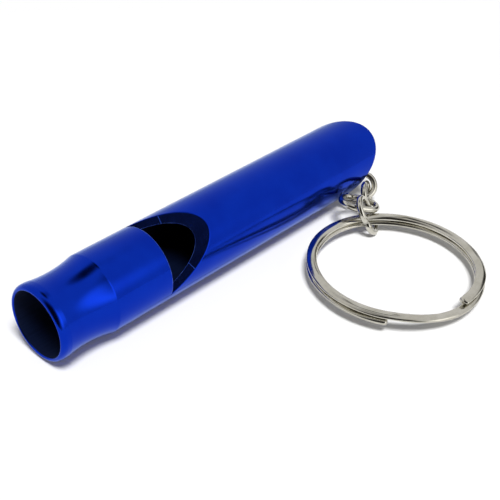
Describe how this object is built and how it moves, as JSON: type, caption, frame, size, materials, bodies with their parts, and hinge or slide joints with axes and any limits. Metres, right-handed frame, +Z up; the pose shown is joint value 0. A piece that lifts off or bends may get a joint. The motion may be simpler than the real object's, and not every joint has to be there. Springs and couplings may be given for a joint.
{
  "type": "whistle",
  "caption": "Blue anodised aluminium tube whistle with a waisted mouthpiece, a side sound window and a slanted tail, on a short chain with a split key ring.",
  "frame": {"origin": "on the table, under the middle of the whole object's box as it lies in the picture", "axes": "+X along the tube from its mouth to its tail, +Y away from the split ring, +Z up from the table"},
  "size_m": [0.0604, 0.0382, 0.011],
  "materials": {
    "tube_blue": "glossy blue anodised",
    "plug_black": "moulded black",
    "chain_nickel": "bright nickel plate on steel"
  },
  "bodies": {
    "whistle": {"whistle_body": "tube_blue", "fipple_block": "plug_black", "end_stopper": "plug_black"},
    "tail_link": {"tail_link": "chain_nickel"},
    "second_link": {"second_link": "chain_nickel"},
    "third_link": {"third_link": "chain_nickel"},
    "ring_link": {"ring_link": "chain_nickel"},
    "split_ring": {"split_ring": "chain_nickel"}
  },
  "joints": [
    {"name": "tail_link_swing", "type": "hinge", "parent": "whistle", "child": "tail_link", "pos_m": [0.0231, 0.00964, 0.00245], "axis": [0, -0.7923, -0.6101], "range_deg": [-90, 0]},
    {"name": "second_link_swing", "type": "hinge", "parent": "tail_link", "child": "second_link", "pos_m": [0.0274, 0.00797, 0.00275], "axis": [0.377, -0.0446, -0.9252], "range_deg": [-80, 0]},
    {"name": "third_link_swing", "type": "hinge", "parent": "second_link", "child": "third_link", "pos_m": [0.02298, 0.00496, 0.00285], "axis": [-0.2108, 0.1711, 0.9624], "range_deg": [-10, 40]},
    {"name": "ring_link_swing", "type": "hinge", "parent": "third_link", "child": "ring_link", "pos_m": [0.02268, 0.00379, 0.00253], "axis": [0, 0, 1], "range_deg": [0, 40]},
    {"name": "split_ring_swing", "type": "hinge", "parent": "ring_link", "child": "split_ring", "pos_m": [0.02136, 0.00268, 0.00203], "axis": [-0.8211, 0.5706, 0.0164], "range_deg": [-70, 50]}
  ]
}
